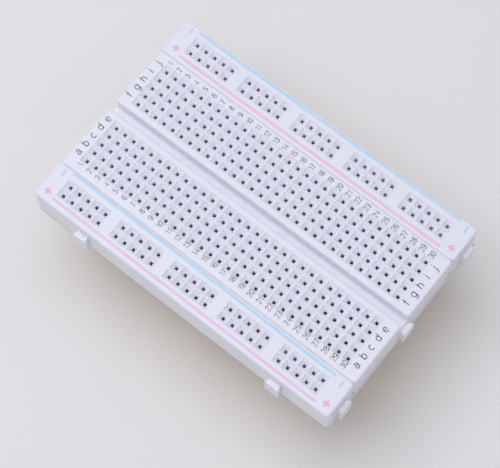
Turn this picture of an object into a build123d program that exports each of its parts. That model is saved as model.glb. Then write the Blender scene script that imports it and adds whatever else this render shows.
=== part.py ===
"""Half-size solderless breadboard in millimetres: a terminal strip between two power rails.

The origin is the middle of the outline, on the face that the release liner shows. +X runs along
the columns, +Y from row a to row j, and +Z out of the face that wires are pushed into.
"""
import os

from build123d import *

# Tie-point grid
pitch = 2.54
columns = 30
rows_per_side = 5
side_row_centre = 3.5 * pitch  # from the middle of the grid to row c or row h
rail_groups = 5
columns_per_group = 5
group_pitch = 6 * pitch
grid_shift = (-0.2, 0.2)  # the grid sits this far off the middle of each moulding

# Mouldings
body_length = 82.7
strip_width = 35.2
rail_width = 9.5
joint_gap = 0.02
housing_height = 8.5
corner_radius = 0.9
edge_radius = 0.5
trench_width = 2.3
trench_depth = 3.5
trench_corner_radius = 0.7  # where the sides of the trench run out into the ends
trench_lip_radius = 0.4  # where its floor rolls over above the end tab

# Foam pads and release liner
foam_thickness = 1.0
liner_thickness = 0.12
sheet_overhang = (0.4, 0.5)  # how far the foam shows past the +X and +Y sides
sheet_corner_radius = 1.1

# Tie-point holes and the cavities under them
funnel_mouth = 2.24
funnel_depth = 1.15
funnel_lip = 0.07  # width and depth of the eased edge round a mouth
hole_width = 0.8
plate_thickness = 2.2
cavity_width = 2.0
cavity_end_room = 1.3  # past the last tie point of a row

# Dovetail tabs, and the slots they slide up into
tab_neck = 2.95
tab_head = 3.7
tab_reach = 1.4
tab_drop = 3.2  # top face of the moulding to the top of a tab
trench_tab_drop = 4.0  # the same, at the two ends of the trench
tab_offset = 27.2
end_tab_shift = 0.3  # the tab on an end sits this far off the middle of its moulding
tab_edge_radius = 0.25
slot_clearance = 0.12
slot_headroom = 0.4
trench_slot_headroom = 0.1
slot_depth = 1.57
gate_mark_radius = 0.8
gate_mark_height = 0.3
gate_mark_offset = 0.75  # along the tab, from its middle
gate_dimple_radius = 0.5
gate_dimple_depth = 0.2

# Contacts, stamped from spring sheet
sheet = 0.2
finger_width = 1.9
leg_offset = 0.75  # centreline of a leg from the middle of the contact
leg_height = 3.0
pinch_offset = 0.12
pinch_height = 5.0
lip_offset = 0.45
lip_height = 5.9

# Heights and places that follow from these
housing_bottom = liner_thickness + foam_thickness
housing_top = housing_bottom + housing_height
plate_bottom = housing_top - plate_thickness
rail_centre = (strip_width + rail_width) / 2 + joint_gap
body_width = 2 * rail_centre + rail_width
row_cavity_length = (rows_per_side - 1) * pitch + 2 * cavity_end_room
bus_columns_span = (rail_groups - 1) * group_pitch + (columns_per_group - 1) * pitch
bus_cavity_length = bus_columns_span + 2 * cavity_end_room

# The three mouldings side by side: name, front side, back side
strips = [
    ("terminal_strip", -strip_width / 2, strip_width / 2),
    ("upper_rail", strip_width / 2 + joint_gap, body_width / 2),
    ("lower_rail", -body_width / 2, -strip_width / 2 - joint_gap),
]
strip_tab_spots = (-tab_offset, tab_offset)


def level(height, centre_y=0):
    """A horizontal plane at this height, over the middle of a moulding."""
    return Plane(origin=(0, centre_y, height))


def grid_level(height, centre_y=0):
    """A horizontal plane at this height, over the middle of a moulding's tie-point grid."""
    return Plane(origin=(grid_shift[0], centre_y + grid_shift[1], height))


def centred(count, spacing):
    """The places of this many things in an evenly spaced row, measured from its middle."""
    return [(place - (count - 1) / 2) * spacing for place in range(count)]


def finish(part, label):
    """Label a finished piece and write it out."""
    part.label = label
    export_step(part, f"parts/{label}.step")


def make_funnel():
    """The space of one tie point: a square funnel with a square hole under it, mouth at Z 0."""
    lip_mouth = funnel_mouth + 2 * funnel_lip
    with BuildPart() as funnel:
        with BuildSketch():
            Rectangle(lip_mouth, lip_mouth)
        with BuildSketch(Plane.XY.offset(-funnel_lip)):
            Rectangle(funnel_mouth, funnel_mouth)
        with BuildSketch(Plane.XY.offset(-funnel_depth)):
            Rectangle(hole_width, hole_width)
        loft(ruled=True)
        with BuildSketch(Plane.XY.offset(-plate_thickness)):
            Rectangle(hole_width, hole_width)
        extrude(amount=plate_thickness - funnel_depth)
    return funnel.part


def make_dovetail(neck, head, reach, height):
    """A dovetail block that stands on Z 0 and reaches along +Y from the origin."""
    with BuildPart() as dovetail:
        with BuildSketch():
            with BuildLine():
                Polyline(
                    (-neck / 2, 0),
                    (-head / 2, reach),
                    (head / 2, reach),
                    (neck / 2, 0),
                    close=True,
                )
            make_face()
        extrude(amount=height)
    return dovetail.part


def make_tab(drop):
    """A dovetail tab with its top edges eased, this far below the top of the moulding."""
    with BuildPart() as tab:
        add(make_dovetail(tab_neck, tab_head, tab_reach, housing_height - drop))
        top = tab.faces().sort_by(Axis.Z)[-1]
        fillet(top.edges().sort_by(Axis.Y)[1:], tab_edge_radius)
    return tab.part


def make_slot(drop, headroom):
    """The space a tab slides up into, with clearance all round."""
    slope = (tab_head - tab_neck) / tab_reach
    mouth = tab_neck + 2 * slot_clearance
    height = housing_height - drop + headroom
    return make_dovetail(mouth, mouth + slope * slot_depth, slot_depth, height)


funnel = make_funnel()
tab = make_tab(tab_drop)
slot = make_slot(tab_drop, slot_headroom)
trench_tab = make_tab(trench_tab_drop)
trench_slot = make_slot(trench_tab_drop, trench_slot_headroom)
os.makedirs("parts", exist_ok=True)

# The terminal strip's moulding: 300 tie points, a centre trench, and a cavity for each contact
with BuildPart() as terminal_strip_housing:
    with BuildSketch(level(housing_bottom)):
        Rectangle(body_length, strip_width)
    extrude(amount=housing_height)
    fillet(terminal_strip_housing.edges().filter_by(Axis.Z), corner_radius)
    with BuildSketch(grid_level(housing_top)):
        Rectangle(body_length + pitch, trench_width)
    extrude(amount=-trench_depth, mode=Mode.SUBTRACT)
    trench_corners = (
        terminal_strip_housing.edges()
        .filter_by(Axis.Z)
        .filter_by_position(Axis.Y, -trench_width, trench_width)
    )
    fillet(trench_corners, trench_corner_radius)
    fillet(terminal_strip_housing.faces().group_by(Axis.Z)[-1].edges(), edge_radius)
    trench_floor_ends = terminal_strip_housing.edges().filter_by(Axis.Y).group_by(Axis.Z)[1]
    fillet(trench_floor_ends.sort_by(Axis.X)[-1], trench_lip_radius)
    with BuildSketch(grid_level(housing_bottom)):
        with GridLocations(pitch, 2 * side_row_centre, columns, 2):
            Rectangle(cavity_width, row_cavity_length)
    extrude(amount=plate_bottom - housing_bottom, mode=Mode.SUBTRACT)
    with Locations(grid_level(housing_top)):
        with GridLocations(pitch, 2 * side_row_centre, columns, 2):
            with GridLocations(pitch, pitch, 1, rows_per_side):
                add(funnel, mode=Mode.SUBTRACT)
    with Locations((0, 0, housing_bottom)):
        with Locations(*[(x, -strip_width / 2) for x in strip_tab_spots]):
            add(tab, rotation=(0, 0, 180))
        with Locations(*[(x, strip_width / 2) for x in strip_tab_spots]):
            add(slot, rotation=(0, 0, 180), mode=Mode.SUBTRACT)
        with Locations((body_length / 2, end_tab_shift)):
            add(trench_tab, rotation=(0, 0, -90))
        with Locations((-body_length / 2, end_tab_shift)):
            add(trench_slot, rotation=(0, 0, -90), mode=Mode.SUBTRACT)
finish(terminal_strip_housing.part, "terminal_strip_housing")


def make_rail_housing(centre_y):
    """A power rail's moulding: 50 tie points over two long cavities."""
    with BuildPart() as housing:
        with BuildSketch(level(housing_bottom, centre_y)):
            Rectangle(body_length, rail_width)
        extrude(amount=housing_height)
        fillet(housing.edges().filter_by(Axis.Z), corner_radius)
        fillet(housing.faces().sort_by(Axis.Z)[-1].edges(), edge_radius)
        with BuildSketch(grid_level(housing_bottom, centre_y)):
            with GridLocations(0, pitch, 1, 2):
                Rectangle(bus_cavity_length, cavity_width)
        extrude(amount=plate_bottom - housing_bottom, mode=Mode.SUBTRACT)
        with Locations(grid_level(housing_top, centre_y)):
            with GridLocations(group_pitch, 0, rail_groups, 1):
                with GridLocations(pitch, pitch, columns_per_group, 2):
                    add(funnel, mode=Mode.SUBTRACT)
        with Locations((0, centre_y, housing_bottom)):
            with Locations(*[(x, -rail_width / 2) for x in strip_tab_spots]):
                add(tab, rotation=(0, 0, 180))
            with Locations(*[(x, rail_width / 2) for x in strip_tab_spots]):
                add(slot, rotation=(0, 0, 180), mode=Mode.SUBTRACT)
            with Locations((body_length / 2, end_tab_shift)):
                add(tab, rotation=(0, 0, -90))
            with Locations((-body_length / 2, end_tab_shift)):
                add(slot, rotation=(0, 0, -90), mode=Mode.SUBTRACT)
        gate_mark_y = gate_mark_radius - rail_width / 2 - tab_reach
        with BuildSketch(level(housing_top - tab_drop - tab_edge_radius, centre_y)):
            with Locations((gate_mark_offset - tab_offset, gate_mark_y)):
                Circle(gate_mark_radius)
        extrude(amount=tab_edge_radius + gate_mark_height)
        with BuildSketch(level(housing_top - tab_drop + gate_mark_height, centre_y)):
            with Locations((gate_mark_offset - tab_offset, gate_mark_y)):
                Circle(gate_dimple_radius)
        extrude(amount=-gate_dimple_depth, mode=Mode.SUBTRACT)
    return housing.part


finish(make_rail_housing(rail_centre), "upper_rail_housing")
finish(make_rail_housing(-rail_centre), "lower_rail_housing")


def make_contact(finger_planes, base_plane, base_size):
    """A contact: a pair of sprung fingers on each plane, rising from one base strip."""
    with BuildPart() as contact:
        with BuildSketch(*finger_planes):
            with BuildLine():
                Polyline(
                    (0, sheet / 2),
                    (leg_offset, sheet / 2),
                    (leg_offset, leg_height),
                    (pinch_offset, pinch_height),
                    (lip_offset, lip_height),
                )
                offset(amount=sheet / 2, kind=Kind.INTERSECTION)
            make_face()
            mirror(about=Plane.YZ)
        extrude(amount=finger_width / 2, both=True)
        with BuildSketch(base_plane):
            Rectangle(*base_size)
        extrude(amount=sheet)
    return contact.part


# One contact under each column of five tie points, rows a to e and rows f to j, for each column
base_width = 2 * leg_offset
row_contact = make_contact(
    [Plane.XZ.offset(row_y) for row_y in centred(rows_per_side, pitch)],
    Plane.XY,
    (base_width, (rows_per_side - 1) * pitch + finger_width),
)
for column, column_x in enumerate(centred(columns, pitch), start=1):
    with BuildPart() as terminal_clip:
        with Locations((grid_shift[0] + column_x, grid_shift[1], housing_bottom)):
            with GridLocations(0, 2 * side_row_centre, 1, 2):
                add(row_contact)
    finish(terminal_clip.part, f"terminal_clip_{column:02d}")

# One long contact under each row of a rail
finger_spots = [
    group_x + column_x
    for group_x in centred(rail_groups, group_pitch)
    for column_x in centred(columns_per_group, pitch)
]
bus_contact = make_contact(
    [Plane.YZ.offset(x) for x in finger_spots],
    Plane.XY,
    (bus_columns_span + finger_width, base_width),
)
for rail, centre_y in (("upper", rail_centre), ("lower", -rail_centre)):
    for polarity, row_y in (("positive", -pitch / 2), ("negative", pitch / 2)):
        with BuildPart() as bus:
            with Locations((grid_shift[0], centre_y + grid_shift[1] + row_y, housing_bottom)):
                add(bus_contact)
        finish(bus.part, f"{rail}_{polarity}_bus")

# Adhesive foam and its release liner: one sheet that stands out past two sides of the mouldings,
# parted at the joints between them and cut away under the slots, so that a tab can enter its slot
# from below
sheet_back = body_width / 2 + sheet_overhang[1]
for name, front, back in strips:
    middle = (front + back) / 2
    for layer, bottom, thickness in (
        ("foam_pad", liner_thickness, foam_thickness),
        ("release_liner", 0, liner_thickness),
    ):
        with BuildPart() as pad:
            with BuildSketch(level(bottom)):
                with Locations((sheet_overhang[0] / 2, sheet_overhang[1] / 2)):
                    RectangleRounded(
                        body_length + sheet_overhang[0],
                        body_width + sheet_overhang[1],
                        sheet_corner_radius,
                    )
                with Locations((0, front)):
                    reach = (back if back < body_width / 2 else sheet_back) - front
                    Rectangle(
                        2 * body_length,
                        reach,
                        align=(Align.CENTER, Align.MIN),
                        mode=Mode.INTERSECT,
                    )
            extrude(amount=thickness)
            with Locations((0, 0, bottom)):
                for mouth in (back, front + reach):
                    with Locations(*[(x, mouth) for x in strip_tab_spots]):
                        add(slot, rotation=(0, 0, 180), mode=Mode.SUBTRACT)
                with Locations((-body_length / 2, middle + end_tab_shift)):
                    add(slot, rotation=(0, 0, -90), mode=Mode.SUBTRACT)
        finish(pad.part, f"{name}_{layer}")
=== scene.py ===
"""The looks of a half-size solderless breadboard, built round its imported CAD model.

Everything is in metres in the CAD frame: +X along the columns, +Y from row a to row j, +Z up.
"""

import math

import bmesh
import bpy
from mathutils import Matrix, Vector, noise


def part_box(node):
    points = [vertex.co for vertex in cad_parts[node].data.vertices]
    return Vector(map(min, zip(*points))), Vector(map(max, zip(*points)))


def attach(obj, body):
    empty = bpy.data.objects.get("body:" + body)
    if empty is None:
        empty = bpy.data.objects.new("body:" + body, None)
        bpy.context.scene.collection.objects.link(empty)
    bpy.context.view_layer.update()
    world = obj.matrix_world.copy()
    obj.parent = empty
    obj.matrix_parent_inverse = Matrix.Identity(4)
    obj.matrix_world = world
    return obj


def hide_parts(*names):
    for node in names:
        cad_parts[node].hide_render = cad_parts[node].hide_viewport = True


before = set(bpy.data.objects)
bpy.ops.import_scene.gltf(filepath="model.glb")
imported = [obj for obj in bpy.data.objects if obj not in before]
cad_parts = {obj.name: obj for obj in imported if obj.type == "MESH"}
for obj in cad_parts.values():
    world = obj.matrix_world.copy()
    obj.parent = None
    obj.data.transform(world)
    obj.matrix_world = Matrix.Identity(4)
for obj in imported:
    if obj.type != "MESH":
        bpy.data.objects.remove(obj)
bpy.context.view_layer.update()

MM = 0.001
PITCH = 2.54 * MM
COLUMNS = 30
GRID_SHIFT = Vector((-0.2, 0.2)) * MM  # from the middle of a moulding to the middle of its grid
ROWS = {
    letter: (place - 5.5 + (1 if place > 5 else -1) * 1.0) * PITCH
    for place, letter in enumerate("abcdefghij", start=1)
}
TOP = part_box("terminal_strip_housing")[1].z
INK_RELIEF = 0.012 * MM
STROKE_SIDES = 2  # bevel resolution of a printed stroke


# ---------------------------------------------------------------- node helpers


class Shader:
    """A new material's node tree, with short ways to add what every material here needs."""

    def __init__(self, name):
        self.material = bpy.data.materials.new(name)
        self.material.use_nodes = True
        self.nodes = self.material.node_tree.nodes
        self.links = self.material.node_tree.links
        self.surface = self.nodes["Principled BSDF"]
        self.place = self.nodes.new("ShaderNodeTexCoord").outputs["Object"]

    def set(self, **values):
        """Sets constant sockets of the surface: an underscore stands for a space."""
        for name, value in values.items():
            self.surface.inputs[name.replace("_", " ")].default_value = value

    def link(self, output, name):
        self.links.new(output, self.surface.inputs[name])

    def stretched(self, scale):
        """The coordinates, stretched by a scale along each axis."""
        mapping = self.nodes.new("ShaderNodeMapping")
        mapping.inputs["Scale"].default_value = scale
        self.links.new(self.place, mapping.inputs["Vector"])
        return mapping.outputs["Vector"]

    def noise(self, size, detail=4.0, roughness=0.55, place=None):
        """Noise whose largest lumps are about this size, in metres."""
        texture = self.nodes.new("ShaderNodeTexNoise")
        texture.inputs["Scale"].default_value = 1 / size
        texture.inputs["Detail"].default_value = detail
        texture.inputs["Roughness"].default_value = roughness
        self.links.new(place or self.place, texture.inputs["Vector"])
        return texture.outputs["Fac"]

    def cells(self, size):
        """Rounded cells of about this size, in metres."""
        texture = self.nodes.new("ShaderNodeTexVoronoi")
        texture.inputs["Scale"].default_value = 1 / size
        self.links.new(self.place, texture.inputs["Vector"])
        return texture.outputs["Distance"]

    def spread(self, value, low, high, from_low=0.3, from_high=0.7):
        """A value moved from one range to another."""
        node = self.nodes.new("ShaderNodeMapRange")
        node.inputs["From Min"].default_value = from_low
        node.inputs["From Max"].default_value = from_high
        node.inputs["To Min"].default_value = low
        node.inputs["To Max"].default_value = high
        self.links.new(value, node.inputs["Value"])
        return node.outputs["Result"]

    def mix(self, factor, first, second):
        """One colour where factor is 0, the other where it is 1. Each may be a colour or a link."""
        node = self.nodes.new("ShaderNodeMix")
        node.data_type = "RGBA"
        self.links.new(factor, node.inputs["Factor"])
        for socket, colour in ((node.inputs[6], first), (node.inputs[7], second)):
            if isinstance(colour, bpy.types.NodeSocket):
                self.links.new(colour, socket)
            else:
                socket.default_value = (*colour, 1)
        return node.outputs[2]

    def bump(self, height, depth, strength=1.0, under=None):
        """Relief of this depth in metres, on top of an earlier relief if there is one."""
        node = self.nodes.new("ShaderNodeBump")
        node.inputs["Strength"].default_value = strength
        node.inputs["Distance"].default_value = depth
        self.links.new(height, node.inputs["Height"])
        if under:
            self.links.new(under, node.inputs["Normal"])
        return node.outputs["Normal"]


# ---------------------------------------------------------------- materials


def moulded_abs(name):
    """White ABS from a spark-eroded mould: milky, satin, with a fine even grain."""
    shader = Shader(name)
    clouds = shader.noise(14 * MM, detail=2)
    grain = shader.noise(0.09 * MM, detail=2)
    pale = shader.mix(shader.spread(clouds, 0, 1), (0.92, 0.92, 0.985), (0.94, 0.935, 0.99))
    shader.link(pale, "Base Color")
    shader.link(shader.spread(shader.noise(1.8 * MM), 0.38, 0.48), "Roughness")
    waves = shader.bump(shader.noise(5 * MM, detail=1), 0.02 * MM)
    shader.link(shader.bump(grain, 0.004 * MM, 0.6, under=waves), "Normal")
    shader.set(
        Subsurface_Weight=0.6,
        Subsurface_Radius=(1.0, 0.95, 1.05),
        Subsurface_Scale=0.25 * MM,
        IOR=1.53,
    )
    return shader.material


def spring_metal(name):
    """Bright nickel plate on rolled spring sheet, faintly streaked along the rolling direction."""
    shader = Shader(name)
    streaks = shader.noise(0.06 * MM, place=shader.stretched((1, 0.08, 1)))
    tarnish = shader.noise(1.5 * MM)
    plate = shader.mix(shader.spread(tarnish, 0, 1), (0.72, 0.73, 0.76), (0.60, 0.60, 0.61))
    shader.link(plate, "Base Color")
    shader.link(shader.spread(streaks, 0.22, 0.38), "Roughness")
    shader.link(shader.bump(streaks, 0.003 * MM, 0.5), "Normal")
    shader.set(Metallic=1.0)
    return shader.material


def closed_cell_foam(name):
    """White closed-cell foam: matt, with small round cells cut open at the edges, and painted shade
    in the hollow of each cell.
    """
    shader = Shader(name)
    cells = shader.cells(0.16 * MM)
    # painted shade: the colour darkens towards the middle of each cell, where the bump below sinks
    # its hollow
    shaded_cell_tint = shader.mix(shader.spread(cells, 0, 1, 0.1, 0.7), (0.84, 0.83, 0.89), (0.95, 0.945, 0.98))
    shader.link(shaded_cell_tint, "Base Color")
    shader.link(shader.bump(cells, 0.05 * MM, 0.8), "Normal")
    shader.set(Roughness=0.92, Subsurface_Weight=0.3, Subsurface_Scale=0.5 * MM)
    return shader.material


def release_paper(name):
    """Waxed kraft paper: long fibres under a slightly glossy, cockled surface."""
    shader = Shader(name)
    fibres = shader.noise(0.5 * MM, detail=6, place=shader.stretched((0.22, 1, 1)))
    blotches = shader.noise(6 * MM, detail=3)
    kraft = shader.mix(shader.spread(fibres, 0, 1), (0.50, 0.33, 0.15), (0.66, 0.48, 0.25))
    aged = shader.mix(shader.spread(blotches, 0, 0.35), kraft, (0.74, 0.58, 0.34))
    shader.link(aged, "Base Color")
    shader.link(shader.spread(fibres, 0.42, 0.62), "Roughness")
    cockle = shader.bump(shader.noise(9 * MM, detail=1), 0.15 * MM)
    shader.link(shader.bump(fibres, 0.012 * MM, 0.7, under=cockle), "Normal")
    return shader.material


def pad_ink(name, full, thin):
    """Pad-printed ink: satin, and thin enough in places for the plastic to show through."""
    shader = Shader(name)
    cover = shader.noise(0.35 * MM, detail=5, roughness=0.7)
    patches = shader.noise(7 * MM, detail=1)
    worn = shader.mix(shader.spread(patches, 0, 0.5), full, thin)
    shader.link(shader.mix(shader.spread(cover, 0, 0.6, 0.45, 0.75), worn, thin), "Base Color")
    shader.link(shader.spread(cover, 0.4, 0.55), "Roughness")
    shader.link(shader.bump(cover, 0.004 * MM, 0.5), "Normal")
    return shader.material


def floor_finish(name):
    """A pale matt tabletop with a barely visible mottle."""
    shader = Shader(name)
    mottle = shader.noise(30 * MM, detail=3)
    shader.link(shader.mix(mottle, (0.93, 0.92, 0.86), (0.95, 0.94, 0.88)), "Base Color")
    shader.set(Roughness=0.8)
    return shader.material


# ---------------------------------------------------------------- printing


def arc(x, y, across, up, start, end, steps=12):
    """Points along part of an ellipse, from one angle to another in degrees."""
    angles = [math.radians(start + (end - start) * i / steps) for i in range(steps + 1)]
    return [(x + across * math.cos(a), y + up * math.sin(a)) for a in angles]


X_HEIGHT = 0.69  # of the height of an ascender or a digit
BOWL = X_HEIGHT / 2

# A thin plain face made for this board: each sign is a list of strokes, one unit high
GLYPHS = {
    "0": [arc(0.28, 0.5, 0.25, 0.5, 90, 450, 24)],
    "1": [[(0.08, 0.76), (0.22, 0.83), (0.33, 1), (0.33, 0)]],
    "2": [arc(0.28, 0.72, 0.24, 0.28, 168, -25) + [(0.03, 0), (0.54, 0)]],
    "3": [
        arc(0.27, 0.755, 0.21, 0.245, 160, -90) + [(0.2, 0.51)],
        arc(0.27, 0.26, 0.25, 0.26, 90, -160),
    ],
    "4": [[(0.42, 0), (0.42, 1), (0.02, 0.32), (0.57, 0.32)]],
    "5": [[(0.5, 1), (0.12, 1), (0.07, 0.53)] + arc(0.28, 0.32, 0.25, 0.32, 140, -155)],
    "6": [
        arc(0.28, 0.31, 0.25, 0.31, 90, 450, 20),
        arc(0.32, 0.5, 0.29, 0.5, 195, 45),
    ],
    "7": [[(0.03, 1), (0.54, 1), (0.33, 0.6), (0.2, 0)]],
    "8": [
        arc(0.28, 0.76, 0.2, 0.24, 90, 450, 18),
        arc(0.28, 0.26, 0.25, 0.26, 90, 450, 18),
    ],
    "9": [
        arc(0.28, 0.69, 0.25, 0.31, 90, 450, 20),
        arc(0.24, 0.5, 0.29, 0.5, 15, -135),
    ],
    "a": [
        arc(0.27, 0.48, 0.22, 0.21, 165, 0) + [(0.49, 0.1), (0.54, 0)],
        [(0.49, 0.41)] + arc(0.22, 0.19, 0.2, 0.19, 90, 270) + [(0.36, 0.04), (0.49, 0.18)],
    ],
    "b": [[(0.04, 0), (0.04, 1)], arc(0.29, BOWL, 0.25, BOWL, 180, 540, 20)],
    "c": [arc(0.29, BOWL, 0.26, BOWL, 45, 315)],
    "d": [[(0.54, 0), (0.54, 1)], arc(0.29, BOWL, 0.25, BOWL, 0, 360, 20)],
    "e": [[(0.04, 0.36)] + arc(0.295, BOWL, 0.26, BOWL, 3, 320, 18)],
    "f": [[(0.17, 0)] + arc(0.35, 0.82, 0.18, 0.18, 180, 90, 6), [(0.02, 0.66), (0.33, 0.66)]],
    "g": [
        arc(0.28, BOWL, 0.25, BOWL, 0, 360, 20),
        [(0.53, X_HEIGHT)] + arc(0.28, -0.06, 0.25, 0.22, 0, -150, 8),
    ],
    "h": [[(0.04, 0), (0.04, 1)], arc(0.28, 0.43, 0.24, 0.26, 180, 0) + [(0.52, 0)]],
    "i": [[(0.05, 0), (0.05, X_HEIGHT)], [(0.05, 0.88), (0.05, 0.99)]],
    "j": [[(0.2, X_HEIGHT)] + arc(-0.02, -0.1, 0.22, 0.17, 0, -100, 8), [(0.2, 0.88), (0.2, 0.99)]],
}
WIDTHS = {"1": 0.4, "f": 0.35, "i": 0.1, "j": 0.22}
PLAIN_WIDTH = 0.56
LETTER_GAP = 0.12


def text_strokes(text, middle, baseline, height):
    """The strokes of a sideways text: it reads along +Y, and its letters' tops face -X."""
    widths = [WIDTHS.get(sign, PLAIN_WIDTH) for sign in text]
    length = sum(widths) + LETTER_GAP * (len(text) - 1)
    start = -length / 2
    strokes = []
    for sign, width in zip(text, widths):
        for stroke in GLYPHS[sign]:
            strokes.append(
                [(baseline - y * height, middle + (start + x) * height) for x, y in stroke]
            )
        start += width + LETTER_GAP
    return strokes


def print_piece(name, strokes, width, material, body):
    """Printed strokes as low rounded ribbons on the top face of a moulding."""
    curve = bpy.data.curves.new(name, "CURVE")
    curve.dimensions = "3D"
    curve.bevel_depth = width / 2
    curve.bevel_resolution = STROKE_SIDES
    curve.use_fill_caps = True
    for stroke in strokes:
        line = curve.splines.new("POLY")
        line.points.add(len(stroke) - 1)
        for point, (x, y) in zip(line.points, stroke):
            point.co = (x, y, 0, 1)
    shape = bpy.data.objects.new(name, curve)
    mesh = bpy.data.meshes.new_from_object(shape)
    bpy.data.objects.remove(shape)
    piece = bpy.data.objects.new(name, mesh)
    flatten = INK_RELIEF / (width / 2)
    for vertex in mesh.vertices:
        vertex.co.z = TOP + vertex.co.z * flatten
    for face in mesh.polygons:
        face.use_smooth = False  # so that the thin edges are shaded as the flat film they are
    mesh.materials.append(material)
    bpy.context.scene.collection.objects.link(piece)
    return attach(piece, body)


NUMBER_HEIGHT = 1.28 * MM
LETTER_HEIGHT = 1.8 * MM
NUMBER_STROKE = 0.14 * MM
LETTER_STROKE = 0.19 * MM
NUMBER_STRETCH = 1.0075  # the numbers are spread a little wider than the columns
NUMBER_SHIFT = -0.08 * MM
NUMBER_ROWS = (15.87 * MM, -15.8 * MM)  # above row j and below row a
LETTER_COLUMNS = (  # baseline, and how far the letters stand above their rows
    (-38.78 * MM, 0.3 * MM),
    (39.98 * MM, -0.3 * MM),
)


def print_numbers(material):
    """Column numbers 1 to 30, above row j and below row a."""
    strokes = []
    for column in range(COLUMNS):
        across = (column - (COLUMNS - 1) / 2) * PITCH * NUMBER_STRETCH + NUMBER_SHIFT
        baseline = GRID_SHIFT.x + across + NUMBER_HEIGHT / 2
        for middle in NUMBER_ROWS:
            strokes += text_strokes(
                str(column + 1), GRID_SHIFT.y + middle, baseline, NUMBER_HEIGHT
            )
    print_piece("column_numbers", strokes, NUMBER_STROKE, material, "terminal_strip")


def print_letters(material):
    """Row letters a to j, at both ends of the terminal strip."""
    strokes = []
    for baseline, shift in LETTER_COLUMNS:
        for letter, row in ROWS.items():
            strokes += text_strokes(
                letter, GRID_SHIFT.y + row + shift, GRID_SHIFT.x + baseline, LETTER_HEIGHT
            )
    print_piece("row_letters", strokes, LETTER_STROKE, material, "terminal_strip")


RAIL_GRID = {"upper": 22.45 * MM, "lower": -22.28 * MM}  # middle of each rail's printing
LINE_ENDS = {  # how far from the middle of the board each line starts and ends
    "upper_negative": (26.17 * MM, 26.39 * MM),
    "upper_positive": (18.84 * MM, 18.65 * MM),
    "lower_negative": (-18.20 * MM, -18.64 * MM),
    "lower_positive": (-25.55 * MM, -25.87 * MM),
}
LINE_WIDTHS = {  # the four lines differ a little
    "upper_negative": 0.60 * MM,
    "upper_positive": 0.66 * MM,
    "lower_negative": 0.58 * MM,
    "lower_positive": 0.54 * MM,
}
LINE_HALF = 37.05 * MM  # half a line's length
LINE_SHIFT = 0.2 * MM
SIGN_OFFSET = 2.72 * MM  # from the middle of a rail's printing
SIGN_PLACES = (-38.7 * MM, 39.35 * MM)
SIGN_SIZE = 1.75 * MM
SIGN_STROKES = {"positive": 0.44 * MM, "negative": 0.34 * MM}


def print_rail(rail, side, name, line_ink, sign_ink):
    """One supply line of a rail with its signs: side is -1 for the + line and 1 for the - line."""
    middle = RAIL_GRID[rail] + GRID_SHIFT.y
    shift = GRID_SHIFT.x
    start_y, end_y = LINE_ENDS[f"{rail}_{name}"]
    width = LINE_WIDTHS[f"{rail}_{name}"]
    line = [
        (shift + LINE_SHIFT - LINE_HALF, start_y),
        (shift + LINE_SHIFT + LINE_HALF, end_y),
    ]
    body = f"{rail}_rail"
    print_piece(f"{rail}_rail_{name}_line", [line], width, line_ink, body)
    signs = []
    for place in SIGN_PLACES:
        x, y = shift + place, middle + side * SIGN_OFFSET
        signs.append([(x, y - SIGN_SIZE / 2), (x, y + SIGN_SIZE / 2)])
        if side < 0:
            signs.append([(x - SIGN_SIZE / 2, y), (x + SIGN_SIZE / 2, y)])
    print_piece(f"{rail}_rail_{name}_signs", signs, SIGN_STROKES[name], sign_ink, body)


# ---------------------------------------------------------------- foam pads


FOAM_GRAIN = 0.3 * MM  # spacing of the points along a pad's edge
FOAM_RINGS = 10
FOAM_WAIST = 0.05 * MM  # how far the edge is drawn in between its two faces
FOAM_CELLS = ((0.45 * MM, 0.045 * MM), (0.2 * MM, 0.025 * MM))  # size and depth of the cut cells
FOAM_CLEAR = 0.004 * MM  # from the faces of the pad to what they touch


def face_outline(node):
    """The outline of a CAD node's underside, as its corners in order."""
    shape = bmesh.new()
    shape.from_mesh(node.data)
    bmesh.ops.remove_doubles(shape, verts=shape.verts, dist=0.001 * MM)
    flat = math.radians(1)
    bmesh.ops.dissolve_limit(shape, angle_limit=flat, verts=shape.verts, edges=shape.edges)
    underside = min(shape.faces, key=lambda face: (round(face.normal.z, 3), -face.calc_area()))
    corners = [loop.vert.co.xy.to_3d() for loop in reversed(underside.loops)]
    shape.free()
    return corners


def walk(corners, spacing):
    """Points at an even spacing along a closed outline, through all of its corners."""
    points = []
    for start, end in zip(corners, corners[1:] + corners[:1]):
        count = max(1, round((end - start).length / spacing))
        points += [start.lerp(end, step / count) for step in range(count)]
    return points


def foam_edge_depth(place, height):
    """How far the cut edge of the foam lies inside the outline, at a height from 0 to 1."""
    depth = FOAM_WAIST * math.sin(math.pi * height)
    for size, relief in FOAM_CELLS:
        depth += relief * (0.5 + 0.5 * noise.noise(place / size))
    return depth


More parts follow.
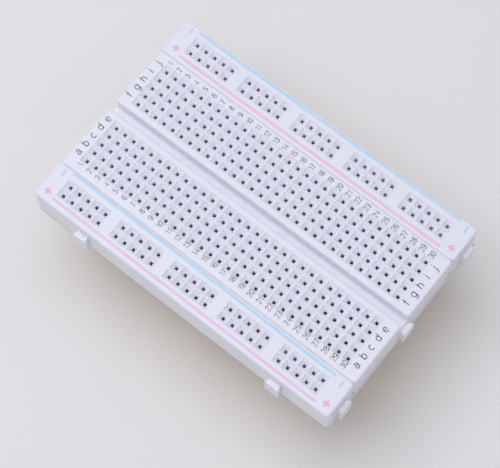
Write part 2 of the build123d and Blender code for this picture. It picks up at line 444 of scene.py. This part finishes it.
def foam_pad(body, material):
    """One die-cut foam pad in its CAD node's space: flat faces, and a waisted, cellular edge."""
    node = f"{body}_foam_pad"
    low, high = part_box(node)
    outline = walk(face_outline(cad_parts[node]), FOAM_GRAIN)
    count = len(outline)
    inward = []
    for index, point in enumerate(outline):
        along = outline[(index + 1) % count] - outline[index - 1]
        inward.append(Vector((-along.y, along.x, 0)).normalized())
    shape = bmesh.new()
    rings = []
    for ring in range(FOAM_RINGS):
        height = ring / (FOAM_RINGS - 1)
        z = low.z + FOAM_CLEAR + height * (high.z - low.z - 2 * FOAM_CLEAR)
        places = [Vector((point.x, point.y, z)) for point in outline]
        rings.append(
            [
                shape.verts.new(place + side * foam_edge_depth(place, height))
                for place, side in zip(places, inward)
            ]
        )
    for lower, upper in zip(rings, rings[1:]):
        for index in range(count):
            after = (index + 1) % count
            face = shape.faces.new((lower[index], lower[after], upper[after], upper[index]))
            face.smooth = True
    shape.faces.new(list(reversed(rings[0])))
    shape.faces.new(rings[-1])
    mesh = bpy.data.meshes.new(f"{body}_foam")
    shape.to_mesh(mesh)
    shape.free()
    mesh.materials.append(material)
    pad = bpy.data.objects.new(f"{body}_foam", mesh)
    bpy.context.scene.collection.objects.link(pad)
    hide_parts(node)
    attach(pad, body)


# ---------------------------------------------------------------- stage


def area_light(name, place, target, size, power, colour):
    """A square soft light that looks at a target."""
    light = bpy.data.lights.new(name, "AREA")
    light.size = size
    light.energy = power
    light.color = colour
    lamp = bpy.data.objects.new(name, light)
    lamp.location = place
    lamp.rotation_euler = (Vector(target) - Vector(place)).to_track_quat("-Z", "Y").to_euler()
    bpy.context.scene.collection.objects.link(lamp)
    return lamp


FLOOR_HALF = 1.5
FLOOR_DROP = 24 * MM  # leaves room for the upper rail and its liner, which come off downwards
SKY_COLOUR = (0.87, 0.88, 1.0)
SKY_STRENGTH = 0.46
SOFTBOX_PLACE = (-0.12, -0.06, 0.58)
SOFTBOX_TARGET = (0, 0, 0.005)
SOFTBOX_SIZE = 0.5
SOFTBOX_POWER = 2.0
SOFTBOX_COLOUR = (0.88, 0.89, 1.0)
CAMERA_PLACE = Vector((85.254, -103.763, 364.634)) * MM
CAMERA_TURN = (19.939, 0.470, 38.618)  # degrees about X, Y and Z
CAMERA_SENSOR = 36  # both in millimetres, as Blender counts them
CAMERA_LENS = 123.74


def build_stage():
    """A pale floor below the held-up board, soft studio light and the camera."""
    mesh = bpy.data.meshes.new("floor")
    signs = ((-1, -1), (1, -1), (1, 1), (-1, 1))
    corners = [(x * FLOOR_HALF, y * FLOOR_HALF) for x, y in signs]
    mesh.from_pydata([(x, y, -FLOOR_DROP) for x, y in corners], [], [(0, 1, 2, 3)])
    mesh.materials.append(floor_finish("floor"))
    floor = bpy.data.objects.new("floor", mesh)
    bpy.context.scene.collection.objects.link(floor)

    world = bpy.data.worlds.new("studio")
    world.use_nodes = True
    sky = world.node_tree.nodes["Background"]
    sky.inputs["Color"].default_value = (*SKY_COLOUR, 1)
    sky.inputs["Strength"].default_value = SKY_STRENGTH
    bpy.context.scene.world = world
    area_light(
        "softbox", SOFTBOX_PLACE, SOFTBOX_TARGET, SOFTBOX_SIZE, SOFTBOX_POWER, SOFTBOX_COLOUR
    )

    camera_data = bpy.data.cameras.new("camera")
    camera_data.sensor_width = CAMERA_SENSOR
    camera_data.lens = CAMERA_LENS
    camera_data.clip_start, camera_data.clip_end = 0.01, 10
    camera = bpy.data.objects.new("camera", camera_data)
    camera.location = CAMERA_PLACE
    camera.rotation_euler = [math.radians(angle) for angle in CAMERA_TURN]
    bpy.context.scene.collection.objects.link(camera)
    bpy.context.scene.camera = camera
    bpy.context.scene.view_settings.view_transform = "Standard"


# ---------------------------------------------------------------- the board


def dress_nodes(material, *parts_of_names):
    """Gives every CAD node whose name holds one of these words its finished material."""
    for name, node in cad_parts.items():
        if any(part in name for part in parts_of_names):
            node.data.materials.clear()
            node.data.materials.append(material)


build_stage()
dress_nodes(moulded_abs("white_abs"), "housing")
dress_nodes(spring_metal("nickel_plate"), "clip", "bus")
foam = closed_cell_foam("foam")
for body in ("terminal_strip", "upper_rail", "lower_rail"):
    foam_pad(body, foam)
dress_nodes(release_paper("kraft_liner"), "release_liner")

grey_ink = pad_ink("grey_ink", (0.05, 0.05, 0.07), (0.17, 0.17, 0.21))
pink_line_ink = pad_ink("pink_line_ink", (0.985, 0.61, 0.79), (0.99, 0.76, 0.89))
pink_sign_ink = pad_ink("pink_sign_ink", (0.98, 0.49, 0.70), (0.985, 0.58, 0.76))
blue_line_ink = pad_ink("blue_line_ink", (0.52, 0.78, 0.975), (0.66, 0.86, 0.985))
blue_sign_ink = pad_ink("blue_sign_ink", (0.42, 0.73, 0.97), (0.55, 0.80, 0.98))
print_numbers(grey_ink)
print_letters(grey_ink)
for rail in ("upper", "lower"):
    print_rail(rail, -1, "positive", pink_line_ink, pink_sign_ink)
    print_rail(rail, 1, "negative", blue_line_ink, blue_sign_ink)
